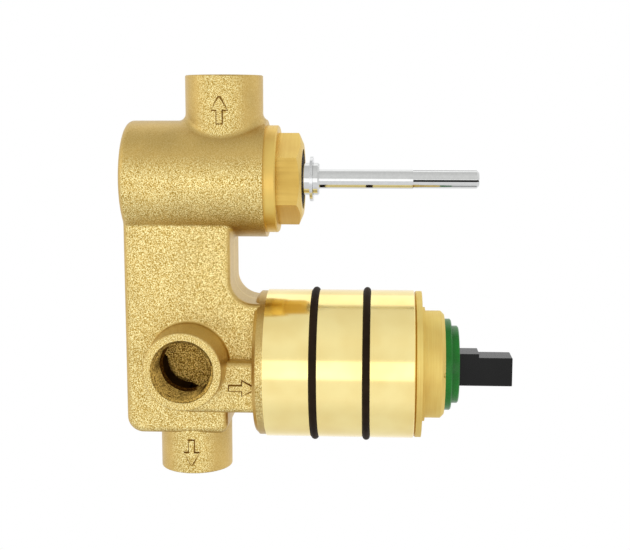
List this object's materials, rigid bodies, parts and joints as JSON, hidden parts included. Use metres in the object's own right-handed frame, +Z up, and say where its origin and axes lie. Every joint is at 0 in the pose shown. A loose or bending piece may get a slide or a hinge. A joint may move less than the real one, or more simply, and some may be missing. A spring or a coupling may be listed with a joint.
{
  "type": "shower diverter valve",
  "caption": "Concealed brass shower mixer body with hot and cold inlets, a lever cartridge in a turned housing and a pull spindle that diverts flow from spout to shower.",
  "frame": {"origin": "centre of the spout outlet's mouth, on its axis", "axes": "+Z up towards the shower outlet, +X out of the wall along the cartridge axis, hot inlet towards -Y"},
  "size_m": [0.1317, 0.055, 0.1356],
  "materials": {
    "cast_brass": "sand cast, turned on the housing",
    "turned_brass": "turned, satin",
    "chrome_plate": "polished chrome plate",
    "green_plastic": "moulded, semi-gloss",
    "black_plastic": "moulded, matt",
    "seal_rubber": "moulded nitrile rubber",
    "ceramic": "lapped alumina ceramic",
    "spring_steel": "bright stainless steel"
  },
  "bodies": {
    "valve": {"valve_body": "cast_brass", "trim_o_ring_back": "seal_rubber", "trim_o_ring_front": "seal_rubber", "cartridge_nut": "turned_brass", "cartridge_shell": "green_plastic", "cartridge_base": "black_plastic", "hot_port_seal": "seal_rubber", "cold_port_seal": "seal_rubber", "outlet_port_seal": "seal_rubber", "fixed_disc": "ceramic", "diverter_bonnet": "turned_brass", "bonnet_o_ring": "seal_rubber", "gland_sleeve": "chrome_plate", "gland_o_ring": "seal_rubber", "rod_o_ring_back": "seal_rubber", "rod_o_ring_front": "seal_rubber", "dust_seal": "seal_rubber", "spindle_clip": "spring_steel", "diverter_cage": "turned_brass", "cage_o_ring_back": "seal_rubber", "cage_o_ring_front": "seal_rubber", "return_spring": "spring_steel"},
    "spindle": {"diverter_spindle": "chrome_plate", "shower_washer": "seal_rubber", "spout_washer": "seal_rubber", "washer_plate": "turned_brass", "washer_nut": "turned_brass"},
    "rotor": {"lever_rotor": "black_plastic", "pivot_pin": "spring_steel"},
    "lever": {"lever_stem": "black_plastic"},
    "disc": {"moving_disc": "ceramic", "disc_carrier": "black_plastic"}
  },
  "joints": [
    {"name": "diverter_pull", "type": "slide", "parent": "valve", "child": "spindle", "axis": [1, 0, 0], "range_m": [0, 0.008], "stiffness_N_per_m": 300, "springref_m": -0.01, "deforming": ["return_spring"]},
    {"name": "lever_swing", "type": "hinge", "parent": "valve", "child": "rotor", "pos_m": [0.08, 0, 0.037], "axis": [1, 0, 0], "range_deg": [-50, 50]},
    {"name": "lever_lift", "type": "hinge", "parent": "rotor", "child": "lever", "pos_m": [0.08, 0, 0.037], "axis": [0, -1, 0], "range_deg": [0, 20]},
    {"name": "disc_slide", "type": "slide", "parent": "rotor", "child": "disc", "axis": [0, 0, -1], "range_m": [0, 0.00665]}
  ],
  "couplings": [
    {"joint": "disc_slide", "follows": "lever_lift", "m_per_rad": 0.019008}
  ]
}
